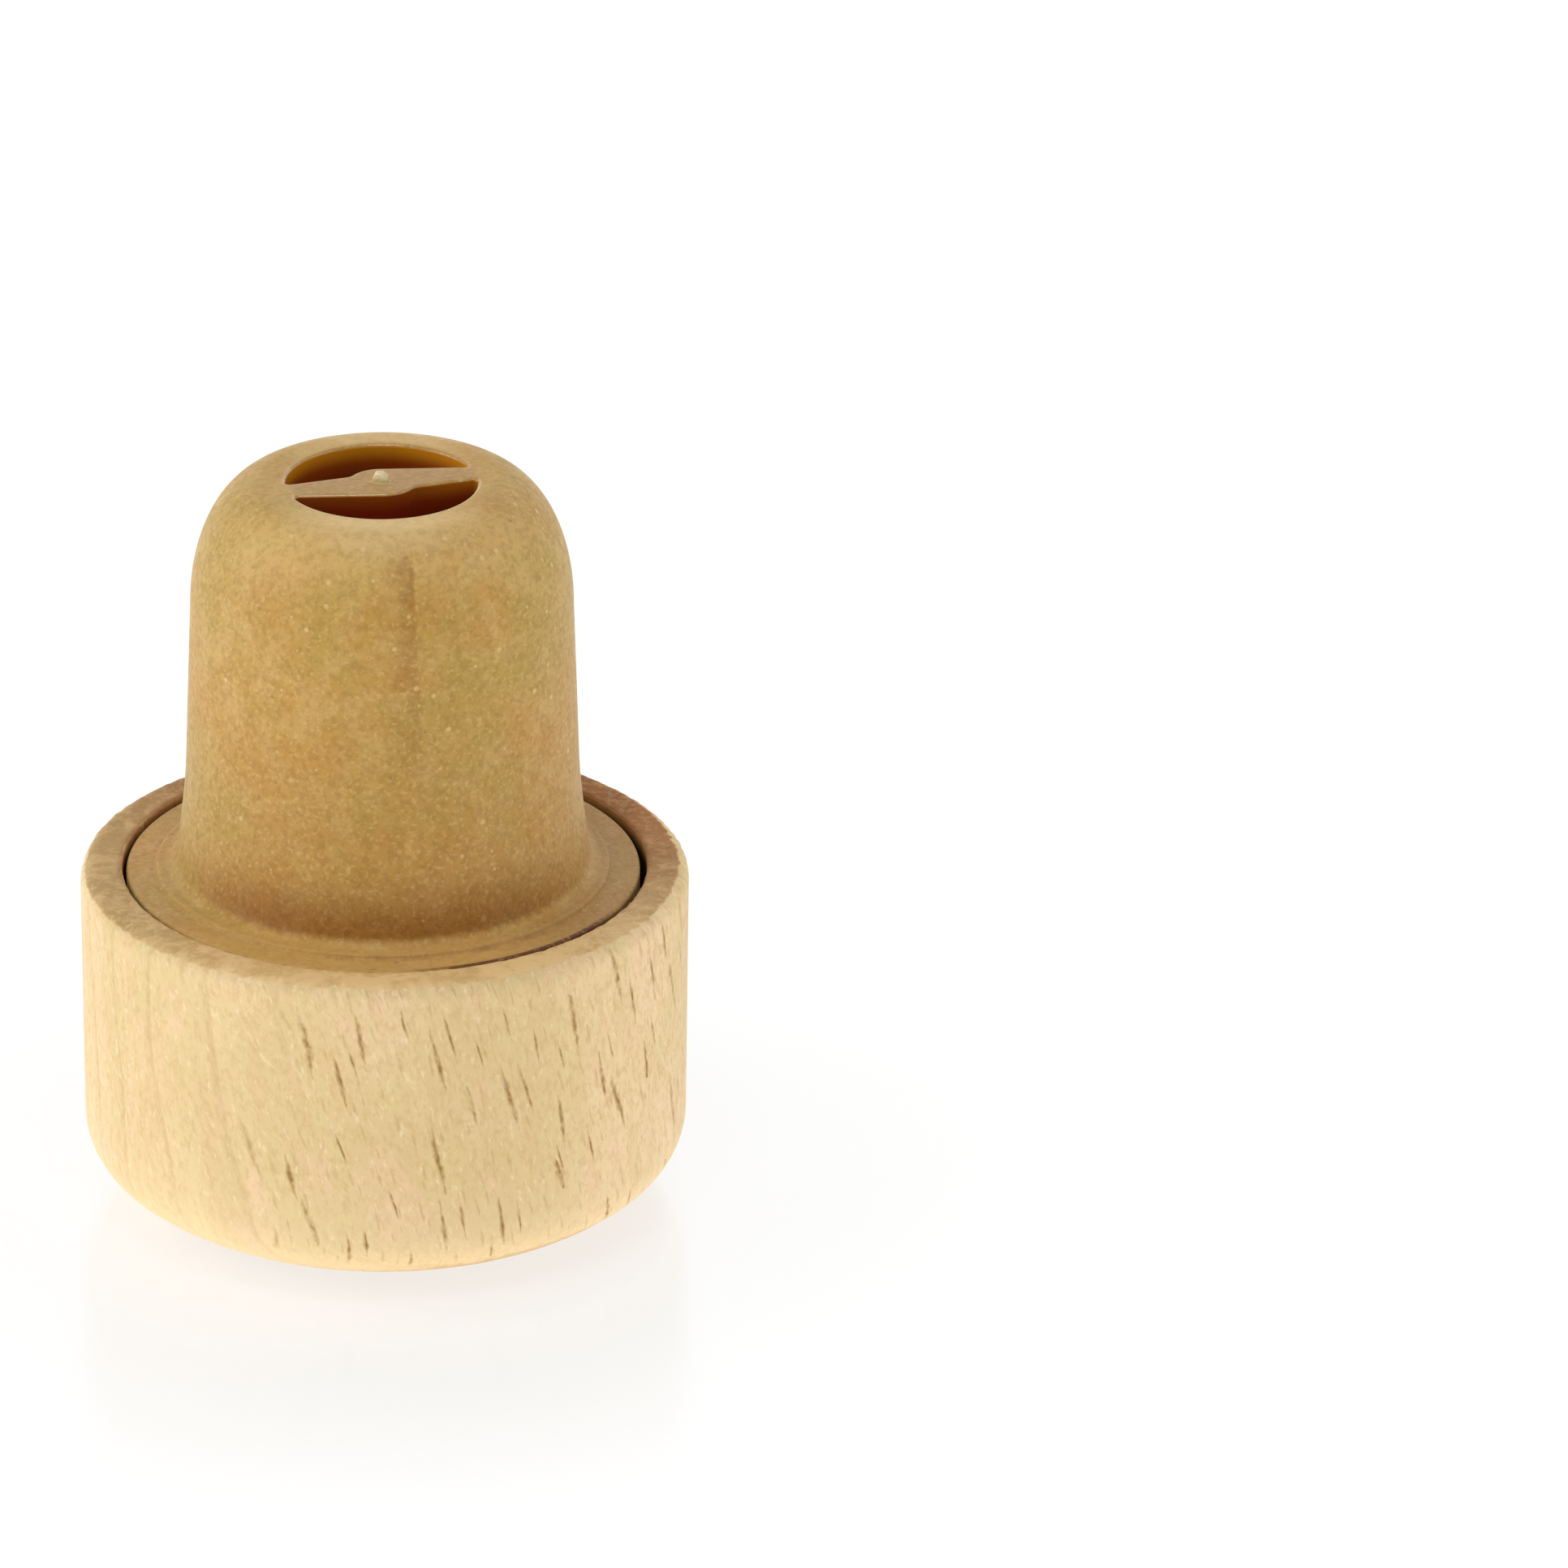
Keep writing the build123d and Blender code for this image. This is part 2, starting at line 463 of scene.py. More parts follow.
def cork_object(materials):
    """Moulded cork: flange, flared shank, rounded nose, mouth with its web, and gate stub."""
    side = cork_side()
    rings = turned(CORK_COLUMNS, lambda k: side)
    rings[:, :, 0] += CORK_SHIFT
    shell = Shell()
    rows = [shell.ring(row) for row in rings]
    for lower, upper in zip(rows, rows[1:]):
        shell.bridge(lower, upper)
    shell.fan((CORK_SHIFT, 0, RECESS_FLOOR), rows[0][::-1])
    lips = [cavity(shell, turn) for turn in (RIB_TURN, RIB_TURN + pi)]
    foot = gate_stub(shell, np.random.default_rng(5))
    patch(shell, rows[-1], lips + [foot], lambda x, y: END_Z, 0.4, BODY)
    return shell.object("moulded_cork", materials)


# ---------------------------------------------------------------- material graphs
def colour(red, green, blue):
    """A colour as it looks on screen, 0 to 255, as linear values."""
    return tuple((c / 255 / 12.92) if c <= 10 else ((c / 255 + 0.055) / 1.055) ** 2.4
                 for c in (red, green, blue)) + (1.0,)


def grey(level):
    """A grey as a linear value."""
    return (level, level, level, 1.0)


class Graph:
    """Short calls for building one node material."""

    def __init__(self, owner):
        owner.use_nodes = True
        self.owner = owner
        self.tree = owner.node_tree
        self.tree.nodes.clear()

    def node(self, kind, values=(), **settings):
        node = self.tree.nodes.new("ShaderNode" + kind)
        for key, value in settings.items():
            setattr(node, key, value)
        for key, value in dict(values).items():
            self.put(node.inputs[key], value)
        return node

    def put(self, socket, value):
        if isinstance(value, bpy.types.NodeSocket):
            self.tree.links.new(value, socket)
        else:
            socket.default_value = value

    def math(self, operation, *values, clamp=False):
        node = self.node("Math", enumerate(values), operation=operation, use_clamp=clamp)
        return node.outputs[0]

    def times(self, first, *factors):
        for factor in factors:
            first = self.math("MULTIPLY", first, factor)
        return first

    def vector(self, operation, *values):
        node = self.node("VectorMath", enumerate(values), operation=operation)
        return node.outputs["Value" if operation in ("DOT_PRODUCT", "LENGTH") else "Vector"]

    def scaled(self, place, factors):
        return self.vector("MULTIPLY", place, factors)

    def radius(self, place):
        """Distance from the z axis."""
        return self.vector("LENGTH", self.scaled(place, (1.0, 1.0, 0.0)))

    def millimetres(self, place, **values):
        """A place in metres, as millimetres; the object's turn can be taken out of it too."""
        return self.node("Mapping", {"Vector": place, "Scale": (MM, MM, MM), **values},
                         vector_type="TEXTURE").outputs[0]

    def noise(self, place, scale, detail=2.0, roughness=0.5, distortion=0.0):
        values = {"Vector": place, "Scale": scale, "Detail": detail, "Roughness": roughness,
                  "Distortion": distortion}
        return self.node("TexNoise", values).outputs["Fac"]

    def between(self, value, low, high, to_low=0.0, to_high=1.0):
        """value from low to high becomes to_low to to_high, smoothly, and is held outside."""
        return self.node("MapRange", {"Value": value, "From Min": low, "From Max": high,
                                      "To Min": to_low, "To Max": to_high},
                         interpolation_type="SMOOTHSTEP").outputs["Result"]

    def mix(self, factor, first, second, blend="MIX"):
        node = self.node("Mix", data_type="RGBA", blend_type=blend, clamp_factor=True)
        self.put(node.inputs[0], factor)
        self.put(node.inputs[6], first)
        self.put(node.inputs[7], second)
        return node.outputs[2]

    def split(self, value, kind="SeparateXYZ"):
        return self.node(kind, {0: value}).outputs

    def join(self, x, y, z):
        return self.node("CombineXYZ", {0: x, 1: y, 2: z}).outputs[0]

    def added(self, first, second):
        return self.node("AddShader", {0: first.outputs[0], 1: second.outputs[0]})

    def finish(self, shader, output="OutputMaterial"):
        self.node(output, {"Surface": shader.outputs[0]})
        return self.owner


def material_graph(name):
    return Graph(bpy.data.materials.new(name))


# ---------------------------------------------------------------- wood of the head
# The rays run to the front, a little right; the fibre stands nearly upright and leans left;
# growth rings lie across the rays. Places in the wood are (ray, across, fibre), in millimetres.
RAY_AZIMUTH = radians(25)
FIBRE = Vector((-0.25, 0.0, 1.0)).normalized()
ACROSS = FIBRE.cross(Vector((sin(RAY_AZIMUTH), -cos(RAY_AZIMUTH), 0.0))).normalized()
RAY = ACROSS.cross(FIBRE)
RING_WIDTH = 3.6
RIM_DEPTH = (4.0, 2.5)          # end grain takes the rim's tints from here up, below the rim


def beech_base(g, wood):
    """Broad warm and greenish drifts, then stripes along the fibre, then fine flakes, then painted
    glints.
    """
    drift = g.noise(g.scaled(wood, (0.11, 0.11, 0.05)), 1.0, 2.0)
    tone = g.mix(g.between(drift, 0.35, 0.65), colour(241, 213, 166), colour(226, 201, 148))
    stripes = g.noise(g.scaled(wood, (1.1, 1.1, 0.07)), 1.0, 3.0, 0.6)
    tone = g.mix(g.between(stripes, 0.35, 0.75, 0.0, 0.42), tone, colour(222, 186, 136))
    hue = g.noise(g.scaled(wood, (0.45, 0.45, 0.22)), 1.0, 3.0, 0.6, 0.3)
    tone = g.mix(g.between(hue, 0.5, 0.72, 0.0, 0.6), tone, colour(243, 205, 168))
    tone = g.mix(g.between(hue, 0.28, 0.5, 0.55, 0.0), tone, colour(224, 205, 146))
    flakes = g.noise(g.scaled(wood, (3.0, 3.0, 1.7)), 1.0, 3.0, 0.7)
    tone = g.mix(g.between(flakes, 0.42, 0.72, 0.0, 0.6), tone, colour(211, 176, 124))
    # Painted highlight: pale glints mixed into the colour.
    glints = g.noise(g.scaled(wood, (3.6, 3.6, 1.5)), 1.0, 2.0, 0.6, 0.3)
    tone = g.mix(g.between(glints, 0.56, 0.76, 0.0, 0.6), tone, colour(248, 224, 184))
    return tone, stripes, flakes


def growth_rings(g, tone, wood, facing_ray, end_grain):
    """The tone deepens to a late-wood line, then starts again. Rings show least where rays do most."""
    bend = g.noise(g.scaled(wood, (0.06, 0.09, 0.03)), 1.0, 2.0)
    place = g.math("MULTIPLY_ADD", g.split(wood)["X"], 1 / RING_WIDTH, g.times(bend, 2.2))
    ring = g.math("FRACT", place)
    line = g.between(ring, 0.84, 0.95, 0.0, 0.75)
    late = g.math("MULTIPLY_ADD", g.between(ring, 0.3, 0.9), 0.25, line)
    late = g.times(late, g.between(ring, 0.96, 1.0, 1.0, 0.0))
    share = g.math("MULTIPLY_ADD", end_grain, 0.2, 0.18)
    sideways = g.between(facing_ray, 0.45, 0.9, 1.0, 0.15)
    return g.mix(g.times(late, share, sideways), tone, colour(170, 124, 78))


def end_grain_tints(g, tone, spot, end_grain, pores):
    """End grain soaks up light, unevenly. On the rim it has painted light and shade: pale at the
    front, brown at the back in the shank's shadow, darker at the left, with lit pores most at the
    front.
    """
    axes = g.split(spot)
    tone = g.mix(g.times(end_grain, 0.75), tone, colour(206, 173, 118))
    low, high = (HEAD_HEIGHT - depth for depth in RIM_DEPTH)
    rim_end = g.times(end_grain, g.between(axes["Z"], low, high))
    # Painted light: the rim's end grain is paler at the front.
    front = g.times(g.between(axes["Y"], -14.0, -7.0, 0.7, 0.0), rim_end)
    tone = g.mix(front, tone, colour(238, 202, 142))
    # Painted shade: the rim's end grain is brown at the back, in the shank's shadow.
    backward = g.math("MULTIPLY_ADD", axes["X"], 0.35, axes["Y"])
    back = g.times(g.between(backward, -5.0, 12.0), rim_end)
    tone = g.mix(g.times(back, 0.9), tone, colour(156, 94, 24))
    # Painted shade: the rim's end grain is darker at the left.
    left = g.times(g.between(axes["X"], -13.5, -9.0, 0.4, 0.0), rim_end)
    tone = g.mix(left, tone, colour(172, 142, 88))
    cloud = g.noise(spot, 0.55, 3.0, 0.65, 0.5)
    shaded = g.times(g.between(cloud, 0.42, 0.6), g.times(rim_end, 0.5))
    tone = g.mix(shaded, tone, colour(208, 196, 168), "MULTIPLY")
    speckled = g.between(axes["Y"], -8.0, 2.0, 0.42, 0.2)
    lit = g.times(g.between(pores, 0.48, 0.62), g.times(end_grain, speckled))
    return g.mix(lit, tone, colour(232, 200, 146))


def ray_flecks(g, wood, cell, half, share, shift):
    """Mask of ray cells that meet the surface: thin spindles along the fibre, scattered."""
    axes = g.split(wood)
    wave = g.math("SUBTRACT", g.noise(g.scaled(wood, (0.2, 0.5, 0.22)), 1.0, 2.0), 0.5)
    side = g.math("ADD", axes["Y"], g.times(wave, 0.5))
    place = g.join(g.math("MULTIPLY_ADD", side, 1 / cell[0], shift),
                   g.math("MULTIPLY_ADD", axes["Z"], 1 / cell[1], shift), 0.0)
    cells = g.node("TexVoronoi", {"Vector": place, "Scale": 1.0, "Randomness": 0.95},
                   voronoi_dimensions="2D")
    random = g.split(cells.outputs["Color"], "SeparateColor")
    away = g.split(g.vector("SUBTRACT", place, cells.outputs["Position"]))
    along = g.times(away["Y"], cell[1])
    tilt = g.times(g.math("SUBTRACT", random["Green"], 0.5), 0.14)
    across = g.math("MULTIPLY_ADD", away["X"], cell[0], g.times(tilt, along))
    size = g.between(random["Red"], 0.0, 1.0, 0.45, 1.0)
    thin = g.math("DIVIDE", g.math("ABSOLUTE", across), g.times(size, half[0]))
    long = g.math("DIVIDE", along, g.times(size, half[1]))
    shape = g.math("ADD", thin, g.times(long, long))
    torn = g.math("SUBTRACT", g.noise(g.scaled(wood, (5.0, 5.0, 2.2)), 1.0, 2.0), 0.5)
    shape = g.math("MULTIPLY_ADD", torn, 1.5, shape)
    mask = g.math("SUBTRACT", 1.0, shape, clamp=True)
    return g.times(mask, g.math("LESS_THAN", random["Blue"], share))


def ray_tints(g, tone, wood, facing_ray, end_grain):
    """Dark flecks where the surface faces along the rays. Returns the large ones' mask too."""
    show = g.between(facing_ray, 0.52, 0.74)
    show = g.times(show, g.math("MULTIPLY_ADD", end_grain, -0.75, 1.0))
    broken = g.between(g.noise(g.scaled(wood, (2.0, 2.0, 1.4)), 1.0, 2.0), 0.3, 0.55, 0.35, 1.0)
    large = ray_flecks(g, wood, cell=(1.45, 3.9), half=(0.21, 2.2), share=0.8, shift=4.3)
    small = ray_flecks(g, wood, cell=(0.7, 1.5), half=(0.12, 0.8), share=0.6, shift=11.7)
    large = g.times(large, broken, show)
    tone = g.mix(g.times(small, show, 0.42), tone, colour(188, 152, 96))
    return g.mix(large, tone, colour(158, 116, 58)), large


def recess_edge_and_painted_shade(g, tone, spot):
    """A brown band along the recess's edge, strongest at the back; painted shade in the gap: a dark
    line at the rim's inner edge in front, and a dark recess wall below the rim.
    """
    axes = g.split(spot)
    radial = g.radius(spot)
    bored = g.between(axes["Z"], RECESS_FLOOR - 1.0, RECESS_FLOOR - 0.5)

    uneven = g.math("MULTIPLY_ADD", g.noise(spot, 0.35, 2.0), 0.7, -0.35)
    edge = g.between(g.math("ADD", radial, uneven),
                     RECESS_RADIUS - 0.05, RECESS_RADIUS + 0.4, 0.75, 0.0)
    edge = g.times(edge, bored, g.between(axes["Y"], -9.0, 4.0, 0.15, 1.0))
    tone = g.mix(edge, tone, colour(146, 96, 44))

    # Painted shade: a dark line at the rim's inner edge, at the front, for the shadow in the gap.
    line = g.between(radial, RECESS_RADIUS + 0.02, RECESS_RADIUS + 0.13, 0.9, 0.0)
    sides = g.math("MAXIMUM", g.between(axes["X"], -1.0, 4.0),
                   g.between(axes["X"], -11.0, -8.5, 1.0, 0.0))
    sides = g.times(sides, bored, g.between(axes["Y"], -5.0, -1.0, 1.0, 0.0))
    tone = g.mix(g.times(line, sides), tone, colour(96, 56, 22))

    # Painted shade: the recess is dark below the rim's top, down in the gap.
    painted_wall_shade = g.between(radial, RECESS_RADIUS + 0.3, RECESS_RADIUS + 0.4, 0.96, 0.0)
    deep = g.between(axes["Z"], HEAD_HEIGHT - 0.9, HEAD_HEIGHT - 0.2, 1.0, 0.0)
    return g.mix(g.times(painted_wall_shade, bored, deep), tone, colour(58, 24, 8))


def wood_material():
    """Turned, sanded, unfinished beech."""
    g = material_graph("turned_beech")
    where = g.node("TexCoord").outputs
    grain_turn = Matrix((RAY, ACROSS, FIBRE)).transposed().to_euler()
    wood = g.millimetres(where["Object"], Rotation=grain_turn)
    spot = g.millimetres(where["Object"])
    facing_ray = g.math("ABSOLUTE", g.vector("DOT_PRODUCT", where["Normal"], tuple(RAY)))
    facing_end = g.math("ABSOLUTE", g.vector("DOT_PRODUCT", where["Normal"], tuple(FIBRE)))
    ragged = g.noise(g.scaled(wood, (1.5, 1.5, 0.5)), 1.0, 2.0, 0.6)
    end_grain = g.between(g.math("MULTIPLY_ADD", ragged, 0.22, facing_end), 0.88, 1.0)
    pores = g.noise(spot, 2.4, 3.0, 0.7)

    tone, stripes, flakes = beech_base(g, wood)
    tone = growth_rings(g, tone, wood, facing_ray, end_grain)
    # Painted light: the wood is paler toward the face, as if lit from below by the floor.
    painted_bounce_light = g.between(g.split(spot)["Z"], 1.5, 8.0, 0.4, 0.0)
    tone = g.mix(painted_bounce_light, tone, colour(248, 225, 182))
    tone = end_grain_tints(g, tone, spot, end_grain, pores)
    tone, large_flecks = ray_tints(g, tone, wood, facing_ray, end_grain)
    tone = recess_edge_and_painted_shade(g, tone, spot)

    relief = g.math("MULTIPLY_ADD", flakes, 0.35, g.times(stripes, 0.3))
    relief = g.math("SUBTRACT", relief, large_flecks)
    relief = g.math("MULTIPLY_ADD", g.times(pores, end_grain), 1.2, relief)
    bump = g.node("Bump", {"Strength": 0.35, "Distance": 0.04 * MM, "Height": relief})
    rough = g.between(flakes, 0.3, 0.7, 0.52, 0.66)
    shader = g.node("BsdfPrincipled", {"Base Color": tone, "Roughness": rough,
                                       "Specular IOR Level": 0.2, "Normal": bump.outputs[0]})
    return g.finish(shader)


# ---------------------------------------------------------------- moulded cork
# Lowest roughness, specular level, bump strength and sheen of each part of its skin
CORK_SKINS = {
    "body": (0.48, 0.33, 0.3, 0.12),
    "lip": (0.18, 0.8, 0.05, 0.0),
    "cavity": (0.4, 0.15, 0.2, 0.0),
}
WELD_X = 3.03                   # the weld line crosses z = 0 at this x,
WELD_LEAN = -0.045              # and leans by this share of the height
WELD_WIDTH = 1.9


class CorkPlace:
    """Sockets for where a point of the cork lies, in millimetres."""

    def __init__(self, g):
        where = g.node("TexCoord").outputs
        self.place = g.millimetres(where["Object"])
        axes = g.split(self.place)
        self.x, self.y, self.z = axes["X"], axes["Y"], axes["Z"]
        self.radial = g.radius(g.vector("SUBTRACT", self.place, (CORK_SHIFT, 0.0, 0.0)))
        self.flange = g.between(self.z, LAND_FACE - 0.05, LAND_FACE + 0.25, 1.0, 0.0)
        self.end_face = g.times(g.between(g.split(where["Normal"])["Z"], 0.93, 0.998),
                                g.between(self.z, END_Z - 0.6, END_Z - 0.1))
        self.above_land = g.between(self.z, LAND_FACE + 0.1, LAND_FACE + 0.5)


def flange_tints(g, tone, at, blotch):
    """The flange is browner, in soft rings. Painted light at its front; painted shade at its right, in
    the angle at the foot of the land, and along its front-right edge by the gap.
    """
    about = g.split(g.scaled(at.place, (0.08, 0.08, 0.08)))
    rings = g.noise(g.join(g.times(at.radial, 1.3), about["X"], about["Y"]), 1.0, 2.0)
    tone = g.mix(g.times(g.between(rings, 0.38, 0.62, 0.12, 0.4), at.flange), tone,
                 colour(172, 128, 66))
    # Painted light: the flange is paler at the front.
    front = g.times(at.flange, g.between(at.y, -9.5, -6.0, 0.4, 0.0))
    tone = g.mix(front, tone, colour(212, 168, 98))
    # Painted shade: the flange is darker at the right, in the shank's shadow.
    right = g.times(at.flange, g.between(at.x, 5.0, 9.0, 0.0, 0.35))
    tone = g.mix(right, tone, colour(146, 108, 58))

    # Painted shade in the angle at the foot of the land.
    painted_crease_shade = g.math("ABSOLUTE", g.math("SUBTRACT", at.radial, LAND_RADIUS + 0.03))
    painted_crease_shade = g.times(g.between(painted_crease_shade, 0.0, 0.3, 0.35, 0.0), at.flange)
    tone = g.mix(g.times(painted_crease_shade, g.between(blotch, 0.4, 0.6)), tone, colour(150, 100, 34))
    # Painted shade: a dark band on the flange's front-right edge, for the shadow in the gap.
    edge = g.times(g.between(at.radial, FLANGE_RADIUS - 0.3, FLANGE_RADIUS - 0.16, 0.0, 0.92),
                   g.between(at.y, -8.0, -5.0, 1.0, 0.0),
                   g.between(at.x, 0.3, 4.0))
    return g.mix(edge, tone, colour(96, 44, 2))


def shank_painted_shade(g, tone, at):
    """Painted shade: the shank darkens toward its foot, most at the front, and at the foot it is
    orange, as in light bounced between the parts. Returns the foot's mask too.
    """
    # Painted shade: darker toward the foot, at the front.
    lower = g.times(g.between(at.z, LAND_FACE + 1.0, NOSE_START, 0.32, 0.0), at.above_land,
                    g.between(at.y, -8.0, 2.0, 1.0, 0.0))
    tone = g.mix(lower, tone, colour(166, 118, 46))
    # Painted shade at the foot, orange as in light bounced between the parts.
    foot = g.times(g.between(at.z, LAND_FACE + 0.6, LAND_FACE + 4.0, 1.0, 0.0), at.above_land,
                   g.between(at.y, -9.5, -2.0, 1.0, 0.0))
    return g.mix(g.times(foot, 0.75), tone, colour(150, 92, 8)), foot


def nose_tints(g, tone, at):
    """The web is darker than the end round it. Painted light makes the nose paler at the front."""
    across_mouth = g.between(at.radial, BORE_RADIUS - 0.5, BORE_RADIUS + 0.3, 0.8, 0.0)
    tone = g.mix(g.times(at.end_face, across_mouth), tone, colour(174, 134, 78))
    # Painted light: the nose is paler at the front.
    nose = g.times(g.between(at.z, NOSE_START + 2.5, END_Z - 0.3, 0.0, 0.5),
                   g.between(at.y, -5.5, -2.5, 1.0, 0.0))
    return g.mix(nose, tone, colour(224, 190, 122))


def weld_line(g, tone, at):
    """Weld line of the mould down the front: it deepens from the left to a sharp step."""
    step = g.math("SUBTRACT", at.x, g.math("MULTIPLY_ADD", at.z, WELD_LEAN, WELD_X))
    left = g.times(g.between(step, -WELD_WIDTH, 0.0), g.between(step, 0.0, 0.2, 1.0, 0.0))
    front = g.between(at.y, -5.0, -3.5, 1.0, 0.0)
    high = g.times(g.between(at.z, 24.0, 31.0), g.between(at.z, END_Z - 1.6, END_Z - 0.3, 1.0, 0.0))
    patchy = g.between(g.noise(at.place, 0.9, 2.0), 0.3, 0.6, 0.4, 1.0)
    weld = g.times(g.times(left, front), g.times(high, patchy))
    return g.mix(g.times(weld, 0.62), tone, colour(158, 110, 44))


def end_ring_painted_highlight(g, tone, at):
    """Painted highlight: the ring round the mouth is paler in front of and behind the web's middle."""
    ring = g.times(g.between(at.radial, BORE_RADIUS + 0.1, BORE_RADIUS + 0.5),
                   g.between(at.z, END_Z - 0.9, END_Z - 0.3),
                   g.between(g.math("ABSOLUTE", at.x), 1.5, 5.0, 0.6, 0.0))
    return g.mix(ring, tone, colour(222, 188, 128))


def speck_mask(g, place, spacing, radius, share, shift):
    """Round specks scattered in a solid, of random size and presence."""
    cells = g.node("TexVoronoi", {"Vector": g.vector("ADD", g.scaled(place, (1 / spacing,) * 3),
                                                     (shift, shift, shift)),
                                  "Scale": 1.0, "Randomness": 1.0})
    random = g.split(cells.outputs["Color"], "SeparateColor")
    reach = g.times(g.between(random["Red"], 0.0, 1.0, 0.4, 1.0), radius / spacing)
    part = g.math("DIVIDE", cells.outputs["Distance"], reach)
    mask = g.between(part, 0.5, 1.0, 1.0, 0.0)
    return g.times(mask, g.math("LESS_THAN", random["Green"], share))


def grain_tints(g, tone, at, foot):
    """Dark and pale grain over all of it, less on the flange. Returns both grains' noise too."""
    calm = g.times(g.math("MULTIPLY_ADD", at.flange, -0.35, 1.0),
                   g.math("MULTIPLY_ADD", at.end_face, -0.4, 1.0))
    grain = g.noise(at.place, 2.6, 3.0, 0.65)
    tone = g.mix(g.times(g.between(grain, 0.42, 0.64, 0.0, 0.5), calm), tone,
                 colour(216, 212, 206), "MULTIPLY")
    fine = g.noise(g.vector("ADD", at.place, (7.0, 3.0, 1.0)), 4.2, 2.0, 0.6)
    calm = g.times(calm, g.math("MULTIPLY_ADD", foot, -0.6, 1.0))
    tone = g.mix(g.times(g.between(fine, 0.5, 0.72, 0.0, 0.42), calm), tone,
                 colour(216, 182, 114))

    pale = speck_mask(g, at.place, spacing=0.85, radius=0.19, share=0.55, shift=3.1)
    dark = speck_mask(g, at.place, spacing=0.95, radius=0.17, share=0.45, shift=8.4)
    specked = g.math("MULTIPLY_ADD", at.end_face, -0.8, 1.0)
    tone = g.mix(g.times(dark, 0.5, specked), tone, colour(146, 106, 56))
    specked = g.times(specked, g.between(at.z, LAND_FACE + 1.0, LAND_FACE + 4.0, 0.3, 1.0))
    return g.mix(g.times(pale, 0.5, specked), tone, colour(230, 200, 146)), grain, fine


def cavity_painted_shade(g, tone, at):
    """Painted shade in the cavities, warm as in light bounced inside them: amber at the lip, dark
    lower down, red at the front.
    """
    skin = g.mix(g.between(at.z, END_Z - 1.1, END_Z - 0.25, 1.0, 0.0),
                 colour(210, 136, 18), colour(150, 58, 2))
    skin = g.mix(g.between(at.z, END_Z - 2.6, END_Z - 0.9, 1.0, 0.0), skin, colour(62, 12, 0))
    skin = g.mix(g.between(at.y, -1.5, 1.8, 0.8, 0.0), skin, colour(124, 4, 0))
    return g.mix(0.96, tone, skin)


def cork_material(name, part="body"):
    """Moulded synthetic cork: a mottled tan elastomer with pale and dark grains in it."""
    g = material_graph(name)
    at = CorkPlace(g)
    broad = g.noise(at.place, 0.17, 2.0, 0.5, 0.4)
    tone = g.mix(g.between(broad, 0.36, 0.64), colour(191, 144, 67), colour(182, 148, 68))
    blotch = g.noise(at.place, 0.62, 3.0, 0.6, 0.3)
    tone = g.mix(g.between(blotch, 0.4, 0.7, 0.0, 0.7), tone, colour(200, 163, 94))
    tone = flange_tints(g, tone, at, blotch)
    tone, foot = shank_painted_shade(g, tone, at)
    tone = nose_tints(g, tone, at)
    tone = weld_line(g, tone, at)
    tone = end_ring_painted_highlight(g, tone, at)
    tone, grain, fine = grain_tints(g, tone, at, foot)
    if part == "cavity":
        tone = cavity_painted_shade(g, tone, at)

    rough_low, specular, depth, sheen = CORK_SKINS[part]
    relief = g.math("ADD", g.times(grain, 0.6), g.times(fine, 0.4))
    bump = g.node("Bump", {"Strength": depth, "Distance": 0.03 * MM, "Height": relief})
    rough = g.between(grain, 0.3, 0.7, rough_low, rough_low + 0.12)
    shader = g.node("BsdfPrincipled", {
        "Base Color": tone, "Roughness": rough, "Specular IOR Level": specular,
        "Sheen Weight": sheen, "Sheen Roughness": 0.5, "Sheen Tint": (1.0, 0.92, 0.7, 1.0),
        "Subsurface Weight": 0.12, "Subsurface Radius": (1.0, 0.45, 0.15),
        "Subsurface Scale": 0.8 * MM, "Normal": bump.outputs[0]})
    return g.finish(shader)


def torn_material():
    """Whitened elastomer where the sprue was torn off."""
    g = material_graph("torn_gate")
    place = g.millimetres(g.node("TexCoord").outputs["Object"])
    grain = g.noise(place, 5.0, 3.0, 0.6)
    tone = g.mix(g.between(grain, 0.35, 0.7), colour(246, 226, 188), colour(220, 190, 136))
    base = g.between(g.split(place)["Z"], END_Z + 0.1, END_Z + 0.38, 1.0, 0.0)
    tone = g.mix(g.times(base, 0.85), tone, colour(184, 162, 104))
    bump = g.node("Bump", {"Strength": 0.4, "Distance": 0.05 * MM, "Height": grain})
    shader = g.node("BsdfPrincipled", {"Base Color": tone, "Roughness": 0.7,
                                       "Normal": bump.outputs[0]})
    return g.finish(shader)


# ---------------------------------------------------------------- the object
head = head_object([wood_material()])
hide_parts("wooden_head")
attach(head, "root")

# The cavities' finish carries painted shade in its colour.
cork = cork_object([cork_material("moulded_cork"), cork_material("cavity_skin_and_painted_shade", "cavity"),
                    torn_material(), cork_material("lip_skin", "lip")])
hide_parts("synthetic_cork")
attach(cork, "root")


# ---------------------------------------------------------------- studio
FLOOR_HALF = 1.5                # metres
FLOOR_DROP = 0.01 * MM          # keeps the floor off the head's face
POLISHED = (16 * MM, 46 * MM)   # polished within the first radius, plain past the second


